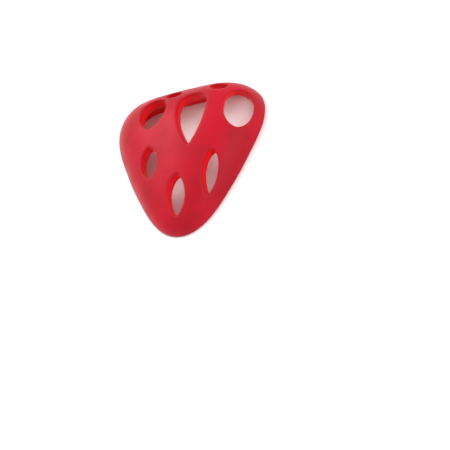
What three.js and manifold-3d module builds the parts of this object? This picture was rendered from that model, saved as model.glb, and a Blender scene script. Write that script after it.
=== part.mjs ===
// Finger exerciser: one soft moulding, a thick-walled hollow dome pierced by leaf-shaped openings.
// It lies on its open rim in the plane z = 0, fingers' end towards +Y, pulled tail towards -Y.
// The moulding is modelled as named zones. A zone ends where the rubber starts to bend or stretch.
// Units are millimetres, +Z up, origin at the bottom centre of the bounding box.
import * as THREE from 'three';
import { mergeVertices } from 'three/addons/utils/BufferGeometryUtils.js';
import Module from 'manifold-3d';

const wasm = await Module();
wasm.setup();

// Driving dimensions.
const WALL = 7; // thickness of the rubber
const HEIGHT = 28; // outer height of the dome over its middle
const SLOPE = 0.25; // share of HEIGHT gained per HALF_SPAN towards the fingers' end
const HALF_SPAN = 50;
const PROFILE = 2.2; // exponent of the dome's rounded profile, 2 is an ellipse
const CUT_GAP = 0.3; // clearance between two neighbouring zones
const AROUND = 60; // facets round the dome
const RINGS = 20; // facets from pole to pole
const LEAF_SEGMENTS = 4; // facets along each quarter of an opening's edge
const CUT_OUT = 9; // how far an opening's cutter stands out of the surface
const CUT_IN = 19; // how far it reaches in
const FAR = 120; // beyond the dome on every side

// Reach of the rim from the dome's axis, by bearing from the tail: a rounded triangle, a little
// egg-shaped. corners draws out its three corners and sides straightens what lies between them.
const REACH = { mean: 53, egg: 2.1, corners: 7.8, sides: 1 };

// Plan lines that part the rows of zones, from the fingers' end to the tail.
const HOOD_LINE = 22;
const PAD_LINE = 6;
const STRAP_LINE = -14;
const NECK_LINE = -28;
const TAIL_LINE = -46;
const FLANK_X = 30; // where the crown turns down into the flanks

// Openings. at: plan centre, turn: degrees of the long axis from +Y towards -X, belly: where along
// the length it is widest (0 is the middle), low and high: how round its two ends are, 0 is a point.
// upright: 0 stands the opening's walls square to the surface, 1 along the draw of the mould, +Z.
const RING_HOLE = {
  at: [-16, 19], length: 24, width: 20.5, turn: -6, belly: 0.05, low: 0.5, high: 1, upright: 0.5,
};
const MIDDLE_HOLE = {
  at: [14.5, 9], length: 38, width: 21.5, turn: -3, belly: 0.27, low: 0, high: 1, upright: 0.7,
};
const INDEX_HOLE = {
  at: [46, 14.5], length: 27, width: 19.5, turn: 0, belly: 0.05, low: 0.7, high: 1, upright: 0.3,
};
const LEFT_SLOT = {
  at: [-17.3, -16.4], length: 21.5, width: 14.5, turn: 0, belly: 0, low: 0.1, high: 0.4, upright: 1,
};
const RIGHT_SLOT = {
  at: [26.3, -28.3], length: 29.5, width: 8.6, turn: -13, belly: 0.1, low: 0.1, high: 0.6, upright: 1,
};
const LOWER_SLOT = {
  at: [3, -41.2], length: 26, width: 12, turn: -9, belly: 0, low: 0.1, high: 0.4, upright: 1,
};
const BACK_SLOT_LEFT = {
  at: [-3, 32.5], length: 5.6, width: 12, turn: -5, belly: 0, low: 1, high: 1, upright: 1,
};
const BACK_SLOT_RIGHT = {
  at: [30.5, 32.5], length: 5.6, width: 12, turn: -8, belly: 0, low: 1, high: 1, upright: 1,
};
const FINGER_HOLES = [RING_HOLE, MIDDLE_HOLE, INDEX_HOLE];
const SLOTS = [LEFT_SLOT, RIGHT_SLOT, LOWER_SLOT, BACK_SLOT_LEFT, BACK_SLOT_RIGHT];

// Handles of an opening's edge curves, for a pointed and for a round end. out is a share of the half
// width, the rises are shares of the length between the widest place and that end.
const POINTED = { out: 0.55, endRise: 0.28, sideRise: 0.4 };
const ROUND = { out: 0.65, endRise: 0, sideRise: 0.6 };

const RED = { color: 0xc62a3c, roughness: 0.5, metalness: 0 };

function rimReach(bearing) {
  const triangle = REACH.corners * Math.cos(3 * bearing) + REACH.sides * Math.cos(6 * bearing);
  return REACH.mean + REACH.egg * Math.cos(bearing) + triangle;
}

// A point of the dome's surface, or of the surface the given depth inside it.
function domePoint(bearing, polar, depth = 0) {
  const spread = Math.sin(polar) ** (2 / PROFILE) * (rimReach(bearing) - depth);
  const lift = Math.sign(Math.cos(polar)) * Math.abs(Math.cos(polar)) ** (2 / PROFILE);
  const y = -spread * Math.cos(bearing);
  const tall = HEIGHT * (1 + SLOPE * y / HALF_SPAN) - depth;
  return new THREE.Vector3(spread * Math.sin(bearing), y, tall * lift);
}

function solidOf(geometry) {
  const bare = geometry.clone();
  bare.deleteAttribute('normal');
  bare.deleteAttribute('uv');
  const merged = mergeVertices(bare, 1e-4);
  const triVerts = Uint32Array.from(merged.index.array);
  const vertProperties = Float32Array.from(merged.attributes.position.array);
  return new wasm.Manifold(new wasm.Mesh({ numProp: 3, vertProperties, triVerts }));
}

function geometryOf(solid) {
  const mesh = solid.getMesh();
  const geometry = new THREE.BufferGeometry();
  geometry.setAttribute('position', new THREE.BufferAttribute(Float32Array.from(mesh.vertProperties), 3));
  geometry.setIndex(new THREE.BufferAttribute(Uint32Array.from(mesh.triVerts), 1));
  geometry.computeVertexNormals();
  return geometry;
}

// The full closed surface at a depth: a sphere whose points are moved onto the dome and its mirror image.
function domeSolid(depth) {
  const geometry = new THREE.SphereGeometry(1, AROUND, RINGS).rotateX(Math.PI / 2);
  const position = geometry.attributes.position;
  for (let i = 0; i < position.count; i += 1) {
    const [x, y, z] = [position.getX(i), position.getY(i), position.getZ(i)];
    const polar = Math.acos(THREE.MathUtils.clamp(z, -1, 1));
    const point = domePoint(Math.atan2(x, -y), polar, depth);
    position.setXYZ(i, point.x, point.y, point.z);
  }
  return solidOf(geometry);
}

// Position and outward normal of the outer surface over a plan point.
function surfaceAt([x, y]) {
  const bearing = Math.atan2(x, -y);
  const polar = Math.asin((Math.hypot(x, y) / rimReach(bearing)) ** (PROFILE / 2));
  const step = 1e-3;
  const around = domePoint(bearing + step, polar).sub(domePoint(bearing - step, polar));
  const down = domePoint(bearing, polar + step).sub(domePoint(bearing, polar - step));
  return { point: domePoint(bearing, polar), normal: down.cross(around).normalize() };
}

// One end of an opening's edge, as the handles of a quarter curve that stretches from the widest place.
function endHandles(roundness, side, wide, stretch) {
  const mixed = (name) => THREE.MathUtils.lerp(POINTED[name], ROUND[name], roundness);
  return {
    sideY: wide + stretch * mixed('sideRise'),
    endX: side * mixed('out'),
    endY: wide + stretch * (1 - mixed('endRise')),
  };
}

function leafShape({ length, width, belly, low, high }) {
  const tip = length / 2;
  const side = width / 2;
  const wide = belly * length;
  const lower = endHandles(low, side, wide, -tip - wide);
  const upper = endHandles(high, side, wide, tip - wide);
  const shape = new THREE.Shape();
  shape.moveTo(0, -tip);
  shape.bezierCurveTo(lower.endX, lower.endY, side, lower.sideY, side, wide);
  shape.bezierCurveTo(side, upper.sideY, upper.endX, upper.endY, 0, tip);
  shape.bezierCurveTo(-upper.endX, upper.endY, -side, upper.sideY, -side, wide);
  shape.bezierCurveTo(-side, lower.sideY, -lower.endX, lower.endY, 0, -tip);
  return shape;
}

// An opening's own axes, set on the surface at its centre: across it, along it and out through it.
function openingFrame(opening) {
  const { point, normal } = surfaceAt(opening.at);
  normal.lerp(new THREE.Vector3(0, 0, 1), opening.upright).normalize();
  const turn = THREE.MathUtils.degToRad(opening.turn);
  const along = new THREE.Vector3(-Math.sin(turn), Math.cos(turn), 0);
  const across = new THREE.Vector3().crossVectors(along, normal).normalize();
  along.crossVectors(normal, across);
  return new THREE.Matrix4().makeBasis(across, along, normal).setPosition(point);
}

function openingCutter(opening) {
  const geometry = new THREE.ExtrudeGeometry(leafShape(opening), {
    depth: CUT_OUT + CUT_IN, bevelEnabled: false, curveSegments: LEAF_SEGMENTS,
  });
  return solidOf(geometry.translate(0, 0, -CUT_IN).applyMatrix4(openingFrame(opening)));
}

function block(xMin, xMax, yMin, yMax, zMin, zMax, frame = new THREE.Matrix4()) {
  const geometry = new THREE.BoxGeometry(xMax - xMin, yMax - yMin, zMax - zMin);
  geometry.translate((xMin + xMax) / 2, (yMin + yMax) / 2, (zMin + zMax) / 2);
  return solidOf(geometry.applyMatrix4(frame));
}

function piercedShell() {
  let shell = domeSolid(0).subtract(domeSolid(WALL));
  shell = shell.intersect(block(-FAR, FAR, -FAR, FAR, 0, FAR));
  for (const opening of [...FINGER_HOLES, ...SLOTS]) shell = shell.subtract(openingCutter(opening));
  return shell;
}

const shell = piercedShell();
const { min, max } = shell.boundingBox();
const CENTRE = [(min[0] + max[0]) / 2, (min[1] + max[1]) / 2];

// The zones, row by row. A row is parted lengthwise by planes: along the middle of an opening, in
// line with its walls, or upright at a plan x.
const ZONES = [
  row(FAR, HOOD_LINE, FINGER_HOLES, ['hood_left', 'hood_mid_left', 'hood_mid_right', 'hood_right']),
  row(HOOD_LINE, PAD_LINE, FINGER_HOLES, ['cheek_left', 'bridge_left', 'bridge_right', 'cheek_right']),
  row(PAD_LINE, STRAP_LINE, [-FLANK_X, FLANK_X], ['flank_left', 'palm_pad', 'flank_right']),
  row(STRAP_LINE, NECK_LINE, [LEFT_SLOT, RIGHT_SLOT], ['strap_left', 'strap_centre', 'strap_right']),
  row(NECK_LINE, TAIL_LINE, [LOWER_SLOT], ['neck_left', 'neck_right']),
  row(TAIL_LINE, -FAR, [], ['pull_tab']),
].flat();

function row(yMax, yMin, lines, names) {
  return names.map((name, i) => ({ name, yMin, yMax, left: lines[i - 1], right: lines[i] }));
}

// Everything to the right (side 1) or left (side -1) of a parting plane, less half the gap.
function halfSpace(line, side) {
  const near = side * CUT_GAP / 2;
  const [xMin, xMax] = side > 0 ? [near, 2 * FAR] : [-2 * FAR, near];
  const upright = typeof line === 'number';
  const frame = upright ? new THREE.Matrix4().makeTranslation(line, 0, 0) : openingFrame(line);
  return block(xMin, xMax, -2 * FAR, 2 * FAR, -2 * FAR, 2 * FAR, frame);
}

function zoneSolid({ yMin, yMax, left, right }) {
  const half = CUT_GAP / 2;
  let solid = shell.intersect(block(-FAR, FAR, yMin + half, yMax - half, -FAR, FAR));
  if (left !== undefined) solid = solid.intersect(halfSpace(left, 1));
  if (right !== undefined) solid = solid.intersect(halfSpace(right, -1));
  return solid;
}

const exerciser = new THREE.Group();
exerciser.position.set(-CENTRE[0], -CENTRE[1], 0);
for (const zone of ZONES) {
  const mesh = new THREE.Mesh(geometryOf(zoneSolid(zone)), new THREE.MeshStandardMaterial(RED));
  mesh.name = zone.name;
  exerciser.add(mesh);
}

const part = new THREE.Group();
part.add(exerciser);

export default part;
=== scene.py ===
"""Finger exerciser: one soft red moulding, a thick-walled hollow dome pierced by leaf-shaped openings.

Metres, +Z up, origin at the bottom centre, as in the CAD. The moulding is made whole, from the same
rule and sizes as the CAD, and then parted at two places that no joint bends, so that each piece
crosses one joint: the hood's flex on the web, the neck's stretch from it and the tail's lift.
"""

import math

import bmesh
import bpy
import numpy as np
from mathutils import Matrix, Vector


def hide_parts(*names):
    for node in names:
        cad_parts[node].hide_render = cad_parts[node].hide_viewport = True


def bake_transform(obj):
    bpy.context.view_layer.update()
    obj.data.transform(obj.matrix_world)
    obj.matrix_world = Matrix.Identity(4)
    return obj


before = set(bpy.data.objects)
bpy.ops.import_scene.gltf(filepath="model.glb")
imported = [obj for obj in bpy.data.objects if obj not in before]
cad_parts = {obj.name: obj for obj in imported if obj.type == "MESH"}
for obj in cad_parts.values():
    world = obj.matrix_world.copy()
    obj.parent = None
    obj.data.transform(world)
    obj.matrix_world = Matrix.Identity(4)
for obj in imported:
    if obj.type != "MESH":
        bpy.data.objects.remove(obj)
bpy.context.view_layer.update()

MM = 0.001

# The dome, in millimetres: reach of the rim by bearing from the tail, height and rounded profile.
# The waves draw it out towards the tail and the three corners, and straighten its sides.
REACH = {"Mean reach": 53.0, "Egg": 2.1, "Corners": 7.8, "Sides": 1.0}
WAVES = {"Egg": 1.0, "Corners": 3.0, "Sides": 6.0}  # how often each swings in a turn
HEIGHT = 28.0
RISE = 0.14  # height gained per unit of y
WALL = 7.0
PROFILE = 2.2  # exponent, 2 is an ellipse
SHIFT = (0.0, 9.9)  # from the dome's axis to the middle of its box
CUT_OUT = 9.0  # how far an opening's cutter stands out of the surface
CUT_IN = 19.0  # how far it reaches in

# Openings: plan place from the dome's axis, length, width, turn in degrees from +Y towards -X,
# where along the length it is widest, how round its lower and upper ends are (0 is a point), and
# how its walls stand (0 square to the surface, 1 along the draw of the mould, +Z).
OPENINGS = [
    ((-16.0, 19.0), 24.0, 20.5, -6.0, 0.05, 0.5, 1.0, 0.5),  # ring finger
    ((14.5, 9.0), 38.0, 21.5, -3.0, 0.27, 0.0, 1.0, 0.7),  # middle finger
    ((46.0, 14.5), 27.0, 19.5, 0.0, 0.05, 0.7, 1.0, 0.3),  # index finger
    ((-17.3, -16.4), 21.5, 14.5, 0.0, 0.0, 0.1, 0.4, 1.0),  # left slot
    ((26.3, -28.3), 29.5, 8.6, -13.0, 0.1, 0.1, 0.6, 1.0),  # right slot
    ((3.0, -41.2), 26.0, 12.0, -9.0, 0.0, 0.1, 0.4, 1.0),  # lowest slot
    ((-3.0, 32.5), 5.6, 12.0, -5.0, 0.0, 1.0, 1.0, 1.0),  # back slots
    ((30.5, 32.5), 5.6, 12.0, -8.0, 0.0, 1.0, 1.0, 1.0),
]
OPENING_COLUMNS = ("length", "width", "turn", "belly", "low", "high", "upright")

# Handles of an opening's edge curves, for a pointed and for a round end. out is a share of the
# half width, the rises are shares of the length between the widest place and that end.
POINTED = {"out": 0.55, "end rise": 0.28, "side rise": 0.4}
ROUND = {"out": 0.65, "end rise": 0.0, "side rise": 0.6}

# Where the moulding is parted, and where each joint's rubber starts and stops bending (y, mm).
WEB_PART = 6.0
NECK_PART = -18.9
HOOD_FLEX = (15.9, 31.9)
NECK_PULL = (-1.0, -18.1)
TAIL_LIFT = (-19.7, -36.1)

ON_THE_LINE = 1e-7  # how near a point counts as on a parting, metres

VOXEL = 0.5  # spacing of the finished mesh, mm
# Remeshing, as spacing in mm and smoothing passes: the first rounds every moulded edge to about
# 2 mm while the steps it leaves on sharp edges are small, the others space the mesh out for use.
REMESHING = ((0.25, 75), (0.35, 20), (VOXEL, 6))

# What the material reads from each point: crests count as sharp where they bulge by this share of
# the mesh's spacing, and rubber counts as deep from one depth under the skin to another, mm.
SHARP_BULGE = 0.12
CREST_SPREAD = 6  # how many points away a crest is felt
DEEP_FROM = 0.6
DEEP_TO = 3.0

RUBBER_RED = "#C4102A"
RUBBER_DEEP = "#B20F23"
# painted glow: the purer red painted on the cut walls and hollow for light passing through the rubber
PAINTED_WALL_GLOW = "#F01822"
# pale pink on the crests: handling bloom together with a painted edge highlight
PAINTED_HIGHLIGHT_AND_BLOOM = "#D8606E"
HIGHLIGHT_AND_BLOOM_STRENGTH = 0.15
TRANSLUCENCE = 0.3
SKY_WHITE = (1.0, 1.0, 1.0, 1.0)
SKY_STRENGTH = 0.95
PAPER_SHADE = "#F1F1F0"
PAPER_WHITE = "#F6F6F5"
PAPER_FIBRES = 25.0  # mm
FLOOR_REACH = 4.0  # metres from the middle to each side

# The rubber's patterns, in mm across. The etched grain is really about 0.1 mm and is drawn coarser
# so that it shows.
PIGMENT_CLOUDS = 25.0
# specks of the crests' bloom and painted highlight
HIGHLIGHT_AND_BLOOM_SPECKS = 3.0
POLISH_PATCHES = 12.0
MOULD_WAVES = 8.0
ETCHED_GRAIN = 0.7

# A Mix node's sockets by place, because its colour and its vector ones share their names.
COLOUR_A, COLOUR_B, MIXED_COLOUR = 6, 7, 2
VECTOR_A, VECTOR_B, MIXED_VECTOR = 4, 5, 1


def linear(hex_colour):
    """An sRGB hex colour as the linear RGBA that shader sockets take."""
    shares = [int(hex_colour[i : i + 2], 16) / 255 for i in (1, 3, 5)]
    return (*[s / 12.92 if s <= 0.04045 else ((s + 0.055) / 1.055) ** 2.4 for s in shares], 1.0)


def per_metre(size):
    """The texture scale that makes a pattern of this size in mm."""
    return 1.0 / (size * MM)


def add(tree, kind, *values, named=None, **settings):
    """Add a node. Values fill its inputs in order, named ones by name; a node or socket is linked."""
    made = tree.nodes.new(kind)
    for name, setting in settings.items():
        setattr(made, name, setting)
    for key, value in [*enumerate(values), *(named or {}).items()]:
        if value is None:
            continue
        if isinstance(value, bpy.types.Node):
            value = value.outputs[0]
        if isinstance(value, bpy.types.NodeSocket):
            tree.links.new(value, made.inputs[key])
        else:
            made.inputs[key].default_value = value
    return made


# ---------------------------------------------------------------- camera, lights, floor


def look_from(location, direction, up):
    """A turn whose -Z looks along direction with its Y nearest to up, as a camera's or a light's."""
    back = -Vector(direction).normalized()
    right = Vector(up).cross(back).normalized()
    placed = Matrix((right, back.cross(right), back)).transposed().to_4x4()
    placed.translation = location
    return placed


LENS = 135.0
SENSOR = 36.0
DISTANCE = 1.114
AIM = (0.02247, -0.04854, 0.015)  # right, up and nearer, from where the dome's axis meets the floor
TOWARDS_CAMERA = Vector((0.4894, -0.4563, 0.7431)).normalized()
CAMERA_UP = Vector((0.173, 0.886, 0.430)).normalized()
CAMERA_RIGHT = CAMERA_UP.cross(TOWARDS_CAMERA).normalized()

camera_data = bpy.data.cameras.new("camera")
camera_data.lens = LENS
camera_data.sensor_width = SENSOR
camera_data.clip_start = 0.05
camera_data.clip_end = 20.0
camera = bpy.data.objects.new("camera", camera_data)
bpy.context.scene.collection.objects.link(camera)
view_axes = Matrix((CAMERA_RIGHT, CAMERA_UP, TOWARDS_CAMERA)).transposed()
aim = Vector((*SHIFT, 0.0)) * MM + view_axes @ Vector(AIM)
camera.matrix_world = look_from(aim + TOWARDS_CAMERA * DISTANCE, -TOWARDS_CAMERA, CAMERA_UP)
bpy.context.scene.camera = camera


def soft_box(name, location, size, power):
    """A square soft light that faces the object."""
    target = Vector((0.0, 0.0, 0.01))
    data = bpy.data.lights.new(name, "AREA")
    data.shape = "SQUARE"
    data.size = size
    data.energy = power
    light = bpy.data.objects.new(name, data)
    bpy.context.scene.collection.objects.link(light)
    light.matrix_world = look_from(location, target - Vector(location), (0.0, 1.0, 0.001))


soft_box("key_light", (-0.6, 0.42, 0.9), 0.8, 9.5)
soft_box("fill_light", (0.95, -0.1, 0.6), 0.9, 6.0)

world = bpy.data.worlds.new("studio")
bpy.context.scene.world = world
world.use_nodes = True
world.node_tree.nodes.clear()
sky = add(world.node_tree, "ShaderNodeBackground", SKY_WHITE, SKY_STRENGTH)
add(world.node_tree, "ShaderNodeOutputWorld", sky)

bpy.context.scene.view_settings.view_transform = "Standard"


def studio_floor():
    """A pale sheet of uncoated paper under the object: matt, with only a faint mottle of fibres."""
    paper = bpy.data.materials.new("paper_matt_white")
    paper.use_nodes = True
    tree = paper.node_tree
    tree.nodes.clear()
    place = add(tree, "ShaderNodeTexCoord").outputs["Object"]
    fibres = add(tree, "ShaderNodeTexNoise", place, named={"Scale": per_metre(PAPER_FIBRES), "Detail": 3.0})
    whites = {COLOUR_A: linear(PAPER_SHADE), COLOUR_B: linear(PAPER_WHITE)}
    tone = add(tree, "ShaderNodeMix", fibres.outputs["Fac"], data_type="RGBA", named=whites)
    surface = add(tree, "ShaderNodeBsdfPrincipled", tone.outputs[MIXED_COLOUR], named={"Roughness": 0.9})
    add(tree, "ShaderNodeOutputMaterial", surface)
    data = bpy.data.meshes.new("floor")
    corners = [(x * FLOOR_REACH, y * FLOOR_REACH, 0.0) for x, y in ((-1, -1), (1, -1), (1, 1), (-1, 1))]
    data.from_pydata(corners, [], [(0, 1, 2, 3)])
    data.materials.append(paper)
    sheet = bpy.data.objects.new("floor", data)
    bpy.context.scene.collection.objects.link(sheet)


studio_floor()


# ---------------------------------------------------------------- material


def moulded_rubber():
    """Thermoplastic rubber, injection moulded against a finely etched tool.

    Satin rather than glossy, and a little translucent; its walls and hollow carry a painted glow, a purer red
    standing in for light passing through the rubber.
    """
    rubber = bpy.data.materials.new("thermoplastic_rubber_moulded_red")
    rubber.use_nodes = True
    tree = rubber.node_tree
    tree.nodes.clear()
    place = add(tree, "ShaderNodeTexCoord").outputs["Object"]

    # Uneven pigment, in soft clouds.
    clouds = add(tree, "ShaderNodeTexNoise", place, named={"Scale": per_metre(PIGMENT_CLOUDS), "Detail": 2.0})
    spread = add(tree, "ShaderNodeMapRange", clouds.outputs["Fac"], 0.35, 0.65)
    reds = {COLOUR_A: linear(RUBBER_RED), COLOUR_B: linear(RUBBER_DEEP)}
    body = add(tree, "ShaderNodeMix", spread, data_type="RGBA", named=reds).outputs[MIXED_COLOUR]

    # Painted glow: a purer, brighter red is painted on the cut walls and the hollow, deep under the skin, for
    # light soaking through the rubber.
    depth = add(tree, "ShaderNodeAttribute", attribute_name="depth").outputs["Fac"]
    reds = {COLOUR_A: body, COLOUR_B: linear(PAINTED_WALL_GLOW)}
    painted_glow = add(tree, "ShaderNodeMix", depth, data_type="RGBA", named=reds).outputs[MIXED_COLOUR]

    # Pale pink on the crests: partly a bloom where handling has dulled them, partly a painted highlight where
    # the rounded edges catch the light.
    crest = add(tree, "ShaderNodeAttribute", attribute_name="crest").outputs["Fac"]
    specks = add(tree, "ShaderNodeTexNoise", place, named={"Scale": per_metre(HIGHLIGHT_AND_BLOOM_SPECKS), "Detail": 4.0})
    highlight_and_bloom = add(tree, "ShaderNodeMath", crest, specks.outputs["Fac"], operation="MULTIPLY")
    highlight_and_bloom = add(tree, "ShaderNodeMath", highlight_and_bloom, HIGHLIGHT_AND_BLOOM_STRENGTH, operation="MULTIPLY", use_clamp=True)
    reds = {COLOUR_A: painted_glow, COLOUR_B: linear(PAINTED_HIGHLIGHT_AND_BLOOM)}
    colour = add(tree, "ShaderNodeMix", highlight_and_bloom, data_type="RGBA", named=reds).outputs[MIXED_COLOUR]

    # Skin roughness wanders in patches with the tool's polish.
    polish = add(tree, "ShaderNodeTexNoise", place, named={"Scale": per_metre(POLISH_PATCHES), "Detail": 3.0})
    rough = add(tree, "ShaderNodeMapRange", polish.outputs["Fac"], 0.3, 0.7, 0.36, 0.48)
    rough = add(tree, "ShaderNodeMath", crest, 0.1, rough, operation="MULTIPLY_ADD")

    # Etched grain, over the slow waves that a thick wall sets with.
    grain = add(tree, "ShaderNodeTexNoise", place, named={"Scale": per_metre(ETCHED_GRAIN), "Detail": 2.0})
    waves = add(tree, "ShaderNodeTexNoise", place, named={"Scale": per_metre(MOULD_WAVES), "Detail": 1.0})
    fine = {"Strength": 0.35, "Distance": 0.06 * MM, "Height": grain.outputs["Fac"]}
    relief = add(tree, "ShaderNodeBump", named=fine)
    slow = {"Strength": 0.3, "Distance": 0.3 * MM, "Height": waves.outputs["Fac"], "Normal": relief}
    relief = add(tree, "ShaderNodeBump", named=slow)

    skin = add(
        tree,
        "ShaderNodeBsdfPrincipled",
        colour,
        named={
            "Roughness": rough,
            "IOR": 1.5,
            "Specular IOR Level": 0.17,
            "Sheen Weight": 0.15,
            "Sheen Roughness": 0.35,
            "Normal": relief,
        },
    )
    inner = add(tree, "ShaderNodeBsdfTranslucent", colour, relief)
    mixed = add(tree, "ShaderNodeMixShader", TRANSLUCENCE, skin, inner)
    add(tree, "ShaderNodeOutputMaterial", mixed)
    return rubber


RUBBER = moulded_rubber()


# ---------------------------------------------------------------- the moulding


def moulding_tree():
    """The node tree that shapes the dome and cuts its openings where the points say."""
    tree = bpy.data.node_groups.new("pierced_dome", "GeometryNodeTree")
    ports = tree.interface
    ports.new_socket("Geometry", in_out="INPUT", socket_type="NodeSocketGeometry")
    for name in (*REACH, "Height", "Rise", "Wall", "Profile", "Cut out", "Cut in"):
        ports.new_socket(name, in_out="INPUT", socket_type="NodeSocketFloat")
    for name in ("Around", "Rings", "Edge points"):
        ports.new_socket(name, in_out="INPUT", socket_type="NodeSocketInt")
    ports.new_socket("Shift", in_out="INPUT", socket_type="NodeSocketVector")
    ports.new_socket("Material", in_out="INPUT", socket_type="NodeSocketMaterial")
    ports.new_socket("Geometry", in_out="OUTPUT", socket_type="NodeSocketGeometry")
    given = add(tree, "NodeGroupInput").outputs

    # The dome: a sphere whose upper half becomes the outside and whose lower half the inside.
    ball = add(tree, "GeometryNodeMeshUVSphere", given["Around"], given["Rings"], 1.0)
    at = add(tree, "ShaderNodeSeparateXYZ", add(tree, "GeometryNodeInputPosition")).outputs
    minus_y = add(tree, "ShaderNodeMath", at["Y"], -1.0, operation="MULTIPLY")
    bearing = add(tree, "ShaderNodeMath", at["X"], minus_y, operation="ARCTAN2")
    flat = add(tree, "ShaderNodeCombineXYZ", at["X"], at["Y"], 0.0)
    off_axis = add(tree, "ShaderNodeVectorMath", flat, operation="LENGTH").outputs["Value"]
    down = add(tree, "ShaderNodeMath", off_axis, at["Z"], operation="ARCTAN2")
    up = add(tree, "ShaderNodeMath", math.pi, down, operation="SUBTRACT")
    folded = add(tree, "ShaderNodeMath", down, up, operation="MINIMUM")
    rows = add(tree, "ShaderNodeMath", given["Rings"], 1.0, operation="SUBTRACT")
    stretch = add(tree, "ShaderNodeMath", given["Rings"], rows, operation="DIVIDE")
    polar = add(tree, "ShaderNodeMath", folded, stretch, operation="MULTIPLY")
    polar = add(tree, "ShaderNodeMath", polar, math.pi / 2, operation="MINIMUM")
    inside = add(tree, "ShaderNodeMath", down, math.pi / 2, operation="GREATER_THAN")
    depth = add(tree, "ShaderNodeMath", inside, given["Wall"], operation="MULTIPLY")

    reach = given["Mean reach"]
    for name, times in WAVES.items():
        turned = add(tree, "ShaderNodeMath", bearing, times, operation="MULTIPLY")
        swing = add(tree, "ShaderNodeMath", turned, operation="COSINE")
        reach = add(tree, "ShaderNodeMath", swing, given[name], reach, operation="MULTIPLY_ADD")
    power = add(tree, "ShaderNodeMath", 2.0, given["Profile"], operation="DIVIDE")
    within = add(tree, "ShaderNodeMath", reach, depth, operation="SUBTRACT")
    sine = add(tree, "ShaderNodeMath", polar, operation="SINE")
    cosine = add(tree, "ShaderNodeMath", polar, operation="COSINE")
    cosine = add(tree, "ShaderNodeMath", cosine, 0.0, operation="MAXIMUM")
    spread = add(tree, "ShaderNodeMath", sine, power, operation="POWER")
    spread = add(tree, "ShaderNodeMath", spread, within, operation="MULTIPLY")
    lift = add(tree, "ShaderNodeMath", cosine, power, operation="POWER")
    east = add(tree, "ShaderNodeMath", bearing, operation="SINE")
    east = add(tree, "ShaderNodeMath", east, spread, operation="MULTIPLY")
    north = add(tree, "ShaderNodeMath", bearing, operation="COSINE")
    north = add(tree, "ShaderNodeMath", north, spread, operation="MULTIPLY")
    north = add(tree, "ShaderNodeMath", north, -1.0, operation="MULTIPLY")
    tall = add(tree, "ShaderNodeMath", north, given["Rise"], given["Height"], operation="MULTIPLY_ADD")
    tall = add(tree, "ShaderNodeMath", tall, depth, operation="SUBTRACT")
    high = add(tree, "ShaderNodeMath", tall, lift, operation="MULTIPLY")
    place = add(tree, "ShaderNodeCombineXYZ", east, north, high)
    dome = add(tree, "GeometryNodeSetPosition", ball, None, place)

    # Each opening's own axes on the dome's outer surface: across it, along it and outwards. Its
    # place there is where a ray from a metre above meets the dome.
    spot = add(tree, "GeometryNodeInputPosition")
    above = add(tree, "ShaderNodeVectorMath", spot, (0.0, 0.0, 1.0), operation="ADD")
    ray = {"Source Position": above, "Ray Direction": (0.0, 0.0, -1.0), "Ray Length": 2.0}
    cast = add(tree, "GeometryNodeRaycast", dome, named=ray)
    turn = add(tree, "GeometryNodeInputNamedAttribute", "turn", data_type="FLOAT")
    turn_sine = add(tree, "ShaderNodeMath", turn, operation="SINE")
    turn_sine = add(tree, "ShaderNodeMath", turn_sine, -1.0, operation="MULTIPLY")
    turn_cosine = add(tree, "ShaderNodeMath", turn, operation="COSINE")
    heading = add(tree, "ShaderNodeCombineXYZ", turn_sine, turn_cosine, 0.0)
    upright = add(tree, "GeometryNodeInputNamedAttribute", "upright", data_type="FLOAT")
    ways = {VECTOR_A: cast.outputs["Hit Normal"], VECTOR_B: (0.0, 0.0, 1.0)}
    outwards = add(tree, "ShaderNodeMix", upright, data_type="VECTOR", named=ways).outputs[MIXED_VECTOR]
    outwards = add(tree, "ShaderNodeVectorMath", outwards, operation="NORMALIZE")
    across = add(tree, "ShaderNodeVectorMath", heading, outwards, operation="CROSS_PRODUCT")
    across = add(tree, "ShaderNodeVectorMath", across, operation="NORMALIZE")
    along = add(tree, "ShaderNodeVectorMath", outwards, across, operation="CROSS_PRODUCT")
    marked = given["Geometry"]
    axes = {"spot": cast.outputs["Hit Position"], "across": across, "along": along, "outwards": outwards}
    on_points = {"data_type": "FLOAT_VECTOR", "domain": "POINT"}
    for name, value in axes.items():
        marked = add(tree, "GeometryNodeStoreNamedAttribute", marked, None, name, value, **on_points)

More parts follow.
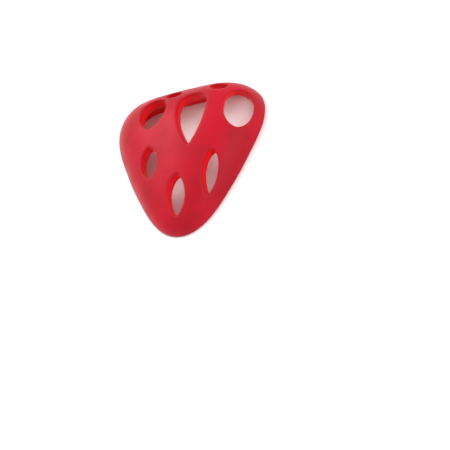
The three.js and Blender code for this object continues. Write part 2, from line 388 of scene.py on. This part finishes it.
    # A cutter for each: a round bar whose edge is pulled to the leaf's outline.
    deep = add(tree, "ShaderNodeMath", given["Cut out"], given["Cut in"], operation="ADD")
    bar = add(tree, "GeometryNodeMeshCylinder", given["Edge points"], 1, 1, 1.0, deep).outputs["Mesh"]
    own = add(tree, "GeometryNodeInputPosition")
    bar = add(tree, "GeometryNodeStoreNamedAttribute", bar, None, "own", own, **on_points)
    bars = add(tree, "GeometryNodeInstanceOnPoints", marked, None, bar)
    bars = add(tree, "GeometryNodeRealizeInstances", bars)
    kinds = dict.fromkeys((*axes, "own"), "FLOAT_VECTOR")
    kinds |= dict.fromkeys(("length", "width", "belly", "low", "high"), "FLOAT")
    read = {
        name: add(tree, "GeometryNodeInputNamedAttribute", name, data_type=kind).outputs[0]
        for name, kind in kinds.items()
    }
    own_at = add(tree, "ShaderNodeSeparateXYZ", read["own"]).outputs
    size_x = add(tree, "ShaderNodeMath", own_at["X"], operation="ABSOLUTE")
    size_y = add(tree, "ShaderNodeMath", own_at["Y"], operation="ABSOLUTE")
    quarter = add(tree, "ShaderNodeMath", size_y, size_x, operation="ARCTAN2")
    t = add(tree, "ShaderNodeMath", quarter, math.pi / 2, operation="DIVIDE")
    rest = add(tree, "ShaderNodeMath", 1.0, t, operation="SUBTRACT")
    upper_end = add(tree, "ShaderNodeMath", own_at["Y"], 0.0, operation="GREATER_THAN")
    rounded = add(tree, "ShaderNodeMix", upper_end, None, read["low"], read["high"])
    handles = {
        name: add(tree, "ShaderNodeMapRange", rounded, 0.0, 1.0, POINTED[name], ROUND[name])
        for name in POINTED
    }
    # A cubic curve's four shares, at t from the side to the end.
    rest_2 = add(tree, "ShaderNodeMath", rest, rest, operation="MULTIPLY")
    t_2 = add(tree, "ShaderNodeMath", t, t, operation="MULTIPLY")
    first = add(tree, "ShaderNodeMath", rest_2, rest, operation="MULTIPLY")
    second = add(tree, "ShaderNodeMath", rest_2, t, operation="MULTIPLY")
    second = add(tree, "ShaderNodeMath", second, 3.0, operation="MULTIPLY")
    third = add(tree, "ShaderNodeMath", t_2, rest, operation="MULTIPLY")
    third = add(tree, "ShaderNodeMath", third, 3.0, operation="MULTIPLY")
    fourth = add(tree, "ShaderNodeMath", t_2, t, operation="MULTIPLY")
    broad = add(tree, "ShaderNodeMath", first, second, operation="ADD")
    broad = add(tree, "ShaderNodeMath", third, handles["out"], broad, operation="MULTIPLY_ADD")
    climb = add(tree, "ShaderNodeMath", second, handles["side rise"], fourth, operation="MULTIPLY_ADD")
    near_end = add(tree, "ShaderNodeMath", 1.0, handles["end rise"], operation="SUBTRACT")
    climb = add(tree, "ShaderNodeMath", third, near_end, climb, operation="MULTIPLY_ADD")
    sign_x = add(tree, "ShaderNodeMath", own_at["X"], operation="SIGN")
    sign_y = add(tree, "ShaderNodeMath", own_at["Y"], operation="SIGN")
    half_width = add(tree, "ShaderNodeMath", read["width"], 0.5, operation="MULTIPLY")
    leaf_x = add(tree, "ShaderNodeMath", broad, half_width, operation="MULTIPLY")
    leaf_x = add(tree, "ShaderNodeMath", leaf_x, sign_x, operation="MULTIPLY")
    # Its widest place is belly from the middle, so the two ends' shares of the length differ.
    belly_side = add(tree, "ShaderNodeMath", read["belly"], sign_y, operation="MULTIPLY")
    share = add(tree, "ShaderNodeMath", 0.5, belly_side, operation="SUBTRACT")
    leaf_y = add(tree, "ShaderNodeMath", climb, share, operation="MULTIPLY")
    leaf_y = add(tree, "ShaderNodeMath", leaf_y, sign_y, read["belly"], operation="MULTIPLY_ADD")
    leaf_y = add(tree, "ShaderNodeMath", leaf_y, read["length"], operation="MULTIPLY")
    drop = add(tree, "ShaderNodeMath", given["Cut out"], given["Cut in"], operation="SUBTRACT")
    drop = add(tree, "ShaderNodeMath", drop, 0.5, own_at["Z"], operation="MULTIPLY_ADD")
    corner = read["spot"]
    for axis, length in (("across", leaf_x), ("along", leaf_y), ("outwards", drop)):
        step = add(tree, "ShaderNodeVectorMath", read[axis], operation="SCALE", named={"Scale": length})
        corner = add(tree, "ShaderNodeVectorMath", corner, step, operation="ADD")
    cutters = add(tree, "GeometryNodeSetPosition", bars, None, corner)

    pierced = add(
        tree,
        "GeometryNodeMeshBoolean",
        dome,
        cutters,
        named={"Self Intersection": True},
        operation="DIFFERENCE",
        solver="EXACT",
    ).outputs["Mesh"]
    placed = add(tree, "GeometryNodeTransform", pierced, named={"Translation": given["Shift"]})
    placed = add(tree, "GeometryNodeRealizeInstances", placed)
    placed = add(tree, "GeometryNodeSetMaterial", placed, None, given["Material"])
    add(tree, "NodeGroupOutput", placed)
    return tree


def opening_points():
    """A mesh of one point for each opening, which carries its turn and sizes."""
    data = bpy.data.meshes.new("opening_points")
    data.from_pydata([(x * MM, y * MM, 0.0) for (x, y), *_ in OPENINGS], [], [])
    units = {"length": MM, "width": MM, "turn": math.radians(1.0)}
    for column, name in enumerate(OPENING_COLUMNS, start=1):
        values = [row[column] * units.get(name, 1.0) for row in OPENINGS]
        data.attributes.new(name, "FLOAT", "POINT").data.foreach_set("value", values)
    return data


def whole_moulding():
    """The moulding in one mesh: pierced by the node tree, then remeshed evenly with rounded edges."""
    former = bpy.data.objects.new("moulding", opening_points())
    bpy.context.scene.collection.objects.link(former)
    tree = moulding_tree()
    values = {
        **{name: size * MM for name, size in REACH.items()},
        "Height": HEIGHT * MM,
        "Rise": RISE,
        "Wall": WALL * MM,
        "Profile": PROFILE,
        "Cut out": CUT_OUT * MM,
        "Cut in": CUT_IN * MM,
        "Around": 180,
        "Rings": 121,
        "Edge points": 96,
        "Shift": (SHIFT[0] * MM, SHIFT[1] * MM, 0.0),
        "Material": RUBBER,
    }
    shaping = former.modifiers.new("shape", "NODES")
    shaping.node_group = tree
    for socket in tree.interface.items_tree:
        if socket.in_out == "INPUT" and socket.name in values:
            shaping[socket.identifier] = values[socket.name]
    for spacing, passes in REMESHING:
        remesh = former.modifiers.new("even_mesh", "REMESH")
        remesh.mode = "VOXEL"
        remesh.voxel_size = spacing * MM
        remesh.use_smooth_shade = True
        soften = former.modifiers.new("soft_edges", "SMOOTH")
        soften.factor = 0.5
        soften.iterations = passes
    graph = bpy.context.evaluated_depsgraph_get()
    made = bpy.data.meshes.new_from_object(former.evaluated_get(graph))
    bpy.data.objects.remove(former)
    return made


def parted(mesh):
    """The mesh with an edge loop at each parting, as arrays: points, normals, edges and faces."""
    work = bmesh.new()
    work.from_mesh(mesh)
    for y in (WEB_PART, NECK_PART):
        bmesh.ops.bisect_plane(
            work,
            geom=[*work.verts, *work.edges, *work.faces],
            dist=ON_THE_LINE,
            plane_co=(0.0, y * MM, 0.0),
            plane_no=(0.0, 1.0, 0.0),
        )
    bmesh.ops.triangulate(work, faces=[f for f in work.faces if len(f.verts) > 4])
    work.normal_update()
    work.verts.ensure_lookup_table()
    points = np.array([v.co for v in work.verts])
    normals = np.array([v.normal for v in work.verts])
    edges = np.array([[e.verts[0].index, e.verts[1].index] for e in work.edges])
    faces = [[v.index for v in f.verts] for f in work.faces]
    work.free()
    return points, normals, edges, faces


def crests(points, normals, edges):
    """How much each point stands on a rounded edge, from 0 on the flat to 1 on a sharp crest."""
    ends = np.concatenate([edges, edges[:, ::-1]])
    count = np.bincount(ends[:, 0], minlength=len(points))
    mean = np.stack(
        [np.bincount(ends[:, 0], points[ends[:, 1], axis], len(points)) for axis in range(3)], axis=1
    ) / count[:, None]
    bulge = ((points - mean) * normals).sum(1)
    for _ in range(CREST_SPREAD):
        bulge = np.bincount(ends[:, 0], bulge[ends[:, 1]], len(points)) / count
    return np.clip(bulge / (SHARP_BULGE * VOXEL * MM), 0.0, 1.0)


def depths(points):
    """How deep each point lies under the dome's outer skin, from 0 near it to 1 well inside."""
    x, y, z = points.T / MM - np.array([[SHIFT[0]], [SHIFT[1]], [0.0]])
    bearing = np.arctan2(x, -y)
    waves = sum(REACH[name] * np.cos(times * bearing) for name, times in WAVES.items())
    outwards = np.hypot(x, y) / (REACH["Mean reach"] + waves)
    upwards = abs(z) / (HEIGHT + RISE * y)
    level = (outwards**PROFILE + upwards**PROFILE) ** (1 / PROFILE)  # 1 on the skin
    under = (1.0 - level) * np.sqrt(x * x + y * y + z * z) / level
    return np.clip((under - DEEP_FROM) / (DEEP_TO - DEEP_FROM), 0.0, 1.0)


def piece(name, chosen, points, normals, marks, faces):
    """One piece of the moulding: the chosen faces, open where it meets its neighbour."""
    kept = [f for f, take in zip(faces, chosen) if take]
    used = np.unique(np.concatenate([np.array(f) for f in kept]))
    order = np.full(len(points), -1)
    order[used] = np.arange(len(used))
    data = bpy.data.meshes.new(name)
    data.from_pydata(points[used].tolist(), [], [[int(order[i]) for i in f] for f in kept])
    for mark, values in marks.items():
        data.attributes.new(mark, "FLOAT", "POINT").data.foreach_set("value", values[used].astype(np.float32))
    data.polygons.foreach_set("use_smooth", np.ones(len(kept), bool))
    # At a parting, both pieces take the whole moulding's normals, so the surface runs on unbroken.
    near = np.zeros(len(used), bool)
    for y in (WEB_PART, NECK_PART):
        near |= abs(points[used, 1] - y * MM) < 2 * ON_THE_LINE
    fixed = np.where(near[:, None], normals[used], 0.0)
    data.normals_split_custom_set_from_vertices(fixed.tolist())
    data.materials.append(RUBBER)
    made = bpy.data.objects.new(name, data)
    bpy.context.scene.collection.objects.link(made)
    return made


def build_moulding():
    """The moulding as three pieces, one across each joint, in place of the CAD's parts, which it hides."""
    points, normals, edges, faces = parted(whole_moulding())
    marks = {"crest": crests(points, normals, edges), "depth": depths(points)}
    middle = np.array([points[f, 1].mean() for f in faces])
    hood_side = middle > WEB_PART * MM
    tail_side = middle < NECK_PART * MM
    shared = (points, normals, marks, faces)
    hood = piece("web_and_hood", hood_side, *shared)
    web = piece("web_and_neck", ~hood_side & ~tail_side, *shared)
    tail = piece("neck_and_tail", tail_side, *shared)
    hood_zones = ("hood_left", "hood_mid_left", "hood_mid_right", "hood_right")
    strut_zones = ("cheek_left", "bridge_left", "bridge_right", "cheek_right")
    crown_zones = ("flank_left", "palm_pad", "flank_right")
    strap_zones = ("strap_left", "strap_centre", "strap_right")
    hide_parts(*hood_zones, *strut_zones)
    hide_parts(*crown_zones, *strap_zones)
    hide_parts("neck_left", "neck_right", "pull_tab")
    for made, bodies, (start, end) in (
        (hood, ("web", "hood"), HOOD_FLEX),
        (web, ("web", "neck"), NECK_PULL),
        (tail, ("neck", "tail"), TAIL_LIFT),
    ):
        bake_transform(made)


build_moulding()
